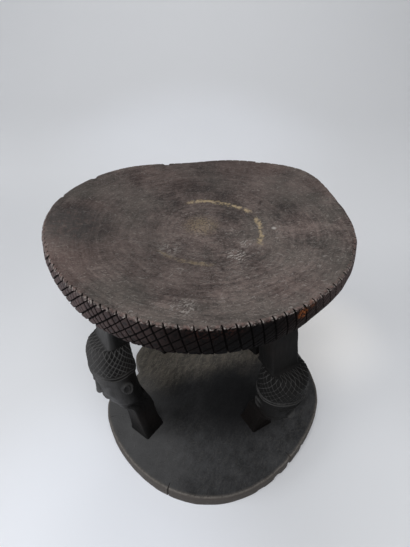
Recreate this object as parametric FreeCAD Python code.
import FreeCAD, Part
import math
import os
from collections import namedtuple

# Carved wooden stool: a dished seat and a round base, held apart by four carved supports.
# A support is a square post, a head and a square neck in one piece, tenoned into the seat and the base.
# Sizes are in millimetres. The origin is on the floor under the middle of the seat.
# +Z is up, +X is to the right and +Y is to the back of the stool.

# One stretch where a hand-cut outline leaves its circle: angle and width in degrees, rise in mm.
Swell = namedtuple("Swell", "angle rise width")

# One level cut through a head: share of the way from chin to crown, then the cut's size front to back
# and ear to ear, and how far its middle stands forward of the head's own line.
HeadCut = namedtuple("HeadCut", "share depth width lead")

# One support. The two angles place its foot and its post round the stool. Facing is where its face looks and
# foot_facing how its foot is turned, because the carver let the neck twist a little. The insets run in
# from the edges of the base and the seat, the heights are from the floor, and each bow
# is how far the head stands out from the straight line between foot and post. Girth scales how much
# stouter the head is than its neck, and jut how far it is set forward.
Support = namedtuple(
    "Support",
    "name facing foot_facing foot_angle foot_inset post_angle post_inset"
    " chin_height chin_bow crown_height crown_bow girth jut",
)

# Seat
SEAT_HEIGHT = 291.0
SEAT_RADIUS = 150.0
SEAT_RIM_HEIGHT = 31.0
SEAT_RIM_TOP_EASE = 1.5
SEAT_RIM_UNDERCUT = 3.5
SEAT_DISH_DEPTH = 12.0
SEAT_SWELLS = (
    Swell(angle=175.0, rise=7.0, width=28.0),
    Swell(angle=100.0, rise=-16.0, width=26.0),
    Swell(angle=40.0, rise=12.0, width=17.0),
    Swell(angle=-10.0, rise=2.0, width=30.0),
)
# The front of the rim is hardly undercut.
SEAT_UNDERSIDE_SWELLS = SEAT_SWELLS + (Swell(angle=-90.0, rise=3.0, width=40.0),)

# Base
BASE_RADIUS = 146.0
BASE_THICKNESS = 20.0
BASE_EDGE_BULGE = 1.5
BASE_OFFSET_X = 12.5
BASE_OFFSET_Y = -1.6
BASE_SWELLS = (
    Swell(angle=-90.0, rise=13.5, width=38.0),
    Swell(angle=-8.0, rise=7.0, width=22.0),
    Swell(angle=150.0, rise=-25.0, width=30.0),
    Swell(angle=175.0, rise=-29.0, width=12.0),
)

# Supports
NECK_DEPTH = 28.0
NECK_WIDTH = 27.0
POST_DEPTH = 25.0
POST_WIDTH = 31.0
POST_FOOT_DEPTH = 27.0
POST_FOOT_WIDTH = 33.0
NAPE_DEPTH = 24.0
NAPE_SET_BACK = 3.0
NECK_SINK = 24.0
POST_SINK = 22.0
SUPPORTS = (
    Support(
        name="support_front_left",
        facing=-145.0,
        foot_facing=-126.0,
        foot_angle=-136.0,
        foot_inset=45.0,
        post_angle=-141.0,
        post_inset=36.0,
        chin_height=96.0,
        chin_bow=8.0,
        crown_height=200.0,
        crown_bow=11.0,
        girth=0.62,
        jut=1.0,
    ),
    Support(
        name="support_front_right",
        facing=-60.0,
        foot_facing=-58.0,
        foot_angle=-41.0,
        foot_inset=56.0,
        post_angle=-47.0,
        post_inset=54.0,
        chin_height=71.0,
        chin_bow=14.0,
        crown_height=163.0,
        crown_bow=20.0,
        girth=0.90,
        jut=1.0,
    ),
    Support(
        name="support_rear_right",
        facing=41.0,
        foot_facing=41.0,
        foot_angle=40.0,
        foot_inset=43.0,
        post_angle=42.0,
        post_inset=50.0,
        chin_height=86.0,
        chin_bow=13.0,
        crown_height=186.0,
        crown_bow=18.0,
        girth=0.85,
        jut=0.9,
    ),
    Support(
        name="support_rear_left",
        facing=134.0,
        foot_facing=134.0,
        foot_angle=133.0,
        foot_inset=57.0,
        post_angle=135.0,
        post_inset=52.0,
        chin_height=88.0,
        chin_bow=14.0,
        crown_height=190.0,
        crown_bow=19.0,
        girth=0.85,
        jut=0.9,
    ),
)

# Heads
HEAD_CUTS = (
    HeadCut(share=0.00, depth=28.0, width=27.0, lead=3.0),
    HeadCut(share=0.12, depth=40.0, width=38.0, lead=6.0),
    HeadCut(share=0.38, depth=48.0, width=50.0, lead=9.0),
    HeadCut(share=0.66, depth=52.0, width=57.0, lead=9.0),
    HeadCut(share=0.88, depth=50.0, width=55.0, lead=7.5),
    HeadCut(share=1.00, depth=42.0, width=46.0, lead=4.5),
)
NOSE_TOP_SHARE = 0.58
NOSE_TIP_SHARE = 0.36
NOSE_TOP_WIDTH = 5.0
NOSE_TIP_WIDTH = 13.0
NOSE_PROUD = 5.0
NOSE_SINK = 12.0
EAR_SHARE = 0.46
EAR_HEIGHT = 22.0
EAR_DEPTH = 13.0
EAR_PROUD = 2.5
EAR_SINK = 10.0
EAR_SET_BACK = 3.0

# Joints
TENON_SHOULDER = 4.0
TENON_LENGTH = 11.0
JOINT_CLEARANCE = 0.2

# How finely the hand-cut curves are laid out
OUTLINE_POINTS = 48
HEAD_POINTS = 16
BLANK_ALLOWANCE = 12.0

SEAT_UNDERSIDE = SEAT_HEIGHT - SEAT_RIM_HEIGHT
SUPPORT_AXIS = FreeCAD.Vector(BASE_OFFSET_X / 2.0, BASE_OFFSET_Y / 2.0, 0.0)


def smooth_loop(points):
    """Closed smooth wire through the points."""
    curve = Part.BSplineCurve()
    curve.interpolate(Points=points, PeriodicFlag=True)
    return Part.Wire([curve.toShape()])


def swollen_radius(radius, swells, angle):
    """Distance from the centre to a hand-cut outline at an angle in degrees."""
    reach = radius
    for swell in swells:
        turn = (angle - swell.angle + 180.0) % 360.0 - 180.0
        reach += swell.rise * math.exp(-((turn / swell.width) ** 2))
    return reach


def disc_outline(radius, swells, centre_x, centre_y, height):
    """Wire round a hand-cut disc at one height."""
    points = []
    for step in range(OUTLINE_POINTS):
        angle = 360.0 * step / OUTLINE_POINTS
        reach = swollen_radius(radius, swells, angle)
        x = centre_x + reach * math.cos(math.radians(angle))
        y = centre_y + reach * math.sin(math.radians(angle))
        points.append(FreeCAD.Vector(x, y, height))
    return smooth_loop(points)


def oval(depth, width, lead):
    """Level oval wire, lead mm in front of its own origin."""
    points = []
    for step in range(HEAD_POINTS):
        turn = math.tau * step / HEAD_POINTS
        x = lead + depth / 2.0 * math.cos(turn)
        y = width / 2.0 * math.sin(turn)
        points.append(FreeCAD.Vector(x, y, 0.0))
    return smooth_loop(points)


def rectangle(back, front, width):
    """Level rectangular wire from back to front of its own origin."""
    half = width / 2.0
    corners = [
        FreeCAD.Vector(back, -half, 0.0),
        FreeCAD.Vector(front, -half, 0.0),
        FreeCAD.Vector(front, half, 0.0),
        FreeCAD.Vector(back, half, 0.0),
    ]
    return Part.makePolygon(corners + corners[:1])


def ear_oval(middle, side):
    """Upright oval wire facing sideways, placed in front of and to one side of its own origin."""
    points = []
    for step in range(HEAD_POINTS):
        turn = math.tau * step / HEAD_POINTS
        x = middle + EAR_DEPTH / 2.0 * math.cos(turn)
        z = EAR_HEIGHT / 2.0 * math.sin(turn)
        points.append(FreeCAD.Vector(x, side, z))
    return smooth_loop(points)


def place_round(reach, angle, height):
    """Point at a distance and angle round the supports' axis."""
    x = reach * math.cos(math.radians(angle))
    y = reach * math.sin(math.radians(angle))
    return SUPPORT_AXIS + FreeCAD.Vector(x, y, height)


def foot_point(support):
    """Middle of a foot, on top of the base."""
    return place_round(BASE_RADIUS - support.foot_inset, support.foot_angle, BASE_THICKNESS)


def post_point(support):
    """Middle of a post's top, under the seat."""
    return place_round(SEAT_RADIUS - support.post_inset, support.post_angle, SEAT_UNDERSIDE)


def bowed_point(support, height, bow):
    """Point at a height that stands out by the bow from the line between foot and post."""
    foot = foot_point(support)
    post = post_point(support)
    share = (height - foot.z) / (post.z - foot.z)
    outward = place_round(bow, (support.foot_angle + support.post_angle) / 2.0, 0.0) - SUPPORT_AXIS
    return foot + (post - foot) * share + outward


def head_point(support, share):
    """Point on a head's own line, a share of the way from chin to crown."""
    chin = bowed_point(support, support.chin_height, support.chin_bow)
    crown = bowed_point(support, support.crown_height, support.crown_bow)
    return chin + (crown - chin) * share


def carried(shape, facing, point):
    """The shape turned to face a direction and carried to a point."""
    turn = FreeCAD.Rotation(FreeCAD.Vector(0.0, 0.0, 1.0), facing)
    return shape.transformShape(FreeCAD.Placement(point, turn).toMatrix(), True)


def base_tenon(support, clearance):
    """Stub tenon under a foot, or the mortise for it when a clearance is given."""
    depth = NECK_DEPTH - 2.0 * TENON_SHOULDER + 2.0 * clearance
    width = NECK_WIDTH - 2.0 * TENON_SHOULDER + 2.0 * clearance
    length = TENON_LENGTH + clearance
    corner = FreeCAD.Vector(-depth / 2.0, -width / 2.0, -length)
    return carried(Part.makeBox(depth, width, length, corner), support.foot_facing, foot_point(support))


def seat_tenon(support, clearance):
    """Stub tenon on top of a post, or the mortise for it when a clearance is given."""
    depth = POST_DEPTH - 2.0 * TENON_SHOULDER + 2.0 * clearance
    width = POST_WIDTH - 2.0 * TENON_SHOULDER + 2.0 * clearance
    length = TENON_LENGTH + clearance
    corner = FreeCAD.Vector(-depth / 2.0, -width / 2.0, 0.0)
    return carried(Part.makeBox(depth, width, length, corner), support.facing, post_point(support))


def make_neck(support):
    """Square neck that leans outward from the foot up into the head."""
    foot = rectangle(-NECK_DEPTH / 2.0, NECK_DEPTH / 2.0, NECK_WIDTH)
    nape = rectangle(-NAPE_DEPTH / 2.0 - NAPE_SET_BACK, NAPE_DEPTH / 2.0 - NAPE_SET_BACK, NECK_WIDTH)
    share = NECK_SINK / (support.crown_height - support.chin_height)
    wires = [
        carried(foot, support.foot_facing, foot_point(support)),
        carried(nape, support.facing, head_point(support, share)),
    ]
    return Part.makeLoft(wires, True, True)


def make_post(support):
    """Square post that tapers from inside the crown of the head up to the seat."""
    foot = rectangle(-POST_FOOT_DEPTH / 2.0, POST_FOOT_DEPTH / 2.0, POST_FOOT_WIDTH)
    top = rectangle(-POST_DEPTH / 2.0, POST_DEPTH / 2.0, POST_WIDTH)
    share = 1.0 - POST_SINK / (support.crown_height - support.chin_height)
    wires = [
        carried(foot, support.facing, head_point(support, share)),
        carried(top, support.facing, post_point(support)),
    ]
    return Part.makeLoft(wires, True, True)


def head_cuts(support):
    """The level cuts of one head, at its own girth and jut."""
    cuts = []
    for cut in HEAD_CUTS:
        depth = NECK_DEPTH + (cut.depth - NECK_DEPTH) * support.girth
        width = NECK_WIDTH + (cut.width - NECK_WIDTH) * support.girth
        cuts.append(HeadCut(cut.share, depth, width, cut.lead * support.jut))
    return cuts


def make_skull(support):
    """Rounded head from chin to crown."""
    wires = []
    for cut in head_cuts(support):
        level = oval(cut.depth, cut.width, cut.lead)
        wires.append(carried(level, support.facing, head_point(support, cut.share)))
    return Part.makeLoft(wires, True, False)


def cut_at(support, share):
    """Level cut through a head at any share of its height."""
    cuts = head_cuts(support)
    upper = next(index for index, cut in enumerate(cuts) if cut.share >= share)
    low = cuts[upper - 1]
    high = cuts[upper]
    blend = (share - low.share) / (high.share - low.share)
    depth = low.depth + blend * (high.depth - low.depth)
    width = low.width + blend * (high.width - low.width)
    lead = low.lead + blend * (high.lead - low.lead)
    return HeadCut(share, depth, width, lead)


def face_front(support, share):
    """How far the face stands in front of the head's own line, at a share of the head's height."""
    cut = cut_at(support, share)
    return cut.lead + cut.depth / 2.0


def make_nose(support):
    """Wedge nose of a plain carved face."""
    tip_front = face_front(support, NOSE_TIP_SHARE)
    top_front = face_front(support, NOSE_TOP_SHARE)
    tip = rectangle(tip_front - NOSE_SINK, tip_front + NOSE_PROUD, NOSE_TIP_WIDTH)
    top = rectangle(top_front - NOSE_SINK, top_front, NOSE_TOP_WIDTH)
    wires = [
        carried(tip, support.facing, head_point(support, NOSE_TIP_SHARE)),
        carried(top, support.facing, head_point(support, NOSE_TOP_SHARE)),
    ]
    return Part.makeLoft(wires, True, True)


def make_ears(support):
    """Pair of oval ears, one on each side of the head."""
    cut = cut_at(support, EAR_SHARE)
    middle = cut.lead - EAR_SET_BACK
    cheek = cut.width / 2.0
    ears = []
    for hand in (-1.0, 1.0):
        inner = ear_oval(middle, hand * (cheek - EAR_SINK))
        outer = ear_oval(middle, hand * (cheek + EAR_PROUD))
        ear = Part.makeLoft([inner, outer], True, True)
        ears.append(carried(ear, support.facing, head_point(support, EAR_SHARE)))
    return ears


def make_support(support):
    """One carved support with its two tenons, as a single solid in its place."""
    neck = make_neck(support).fuse(base_tenon(support, 0.0))
    post = make_post(support).fuse(seat_tenon(support, 0.0))
    whole = make_skull(support).fuse(neck).fuse(post).fuse(make_nose(support))
    for ear in make_ears(support):
        whole = whole.fuse(ear)
    return whole


def make_seat():
    """Dished seat with a swelling rim, mortised underneath for the posts."""
    levels = (
        (SEAT_UNDERSIDE, SEAT_RADIUS - SEAT_RIM_UNDERCUT, SEAT_UNDERSIDE_SWELLS),
        (SEAT_UNDERSIDE + SEAT_RIM_HEIGHT / 2.0, SEAT_RADIUS, SEAT_SWELLS),
        (SEAT_HEIGHT, SEAT_RADIUS - SEAT_RIM_TOP_EASE, SEAT_SWELLS),
        (SEAT_HEIGHT + BLANK_ALLOWANCE, SEAT_RADIUS - 2.0 * SEAT_RIM_TOP_EASE, SEAT_SWELLS),
    )
    wires = [disc_outline(radius, swells, 0.0, 0.0, height) for height, radius, swells in levels]
    blank = Part.makeLoft(wires, True, False)
    dish_radius = (SEAT_RADIUS ** 2 + SEAT_DISH_DEPTH ** 2) / (2.0 * SEAT_DISH_DEPTH)
    dish_centre = FreeCAD.Vector(0.0, 0.0, SEAT_HEIGHT - SEAT_DISH_DEPTH + dish_radius)
    cutters = [Part.makeSphere(dish_radius, dish_centre)]
    for support in SUPPORTS:
        cutters.append(seat_tenon(support, JOINT_CLEARANCE))
    return blank.cut(cutters)


def make_base():
    """Round base with a slightly swelling edge, mortised on top for the necks."""
    levels = (
        (0.0, BASE_RADIUS - BASE_EDGE_BULGE),
        (BASE_THICKNESS / 2.0, BASE_RADIUS),
        (BASE_THICKNESS, BASE_RADIUS - BASE_EDGE_BULGE),
    )
    wires = [
        disc_outline(radius, BASE_SWELLS, BASE_OFFSET_X, BASE_OFFSET_Y, height)
        for height, radius in levels
    ]
    blank = Part.makeLoft(wires, True, False)
    cutters = [base_tenon(support, JOINT_CLEARANCE) for support in SUPPORTS]
    return blank.cut(cutters)


def write_node(name, shape):
    """Save one piece and say what it measures."""
    if len(shape.Solids) != 1 or not shape.isValid():
        raise ValueError(name + " is not one valid solid")
    shape.exportStep(os.path.join("parts", name + ".step"))
    box = shape.BoundBox
    print(
        f"{name}: {shape.Volume / 1000.0:.1f} cm3,"
        f" x {box.XMin:.1f} to {box.XMax:.1f},"
        f" y {box.YMin:.1f} to {box.YMax:.1f},"
        f" z {box.ZMin:.1f} to {box.ZMax:.1f}"
    )


os.makedirs("parts", exist_ok=True)
write_node("seat", make_seat())
write_node("base", make_base())
for one_support in SUPPORTS:
    write_node(one_support.name, make_support(one_support))
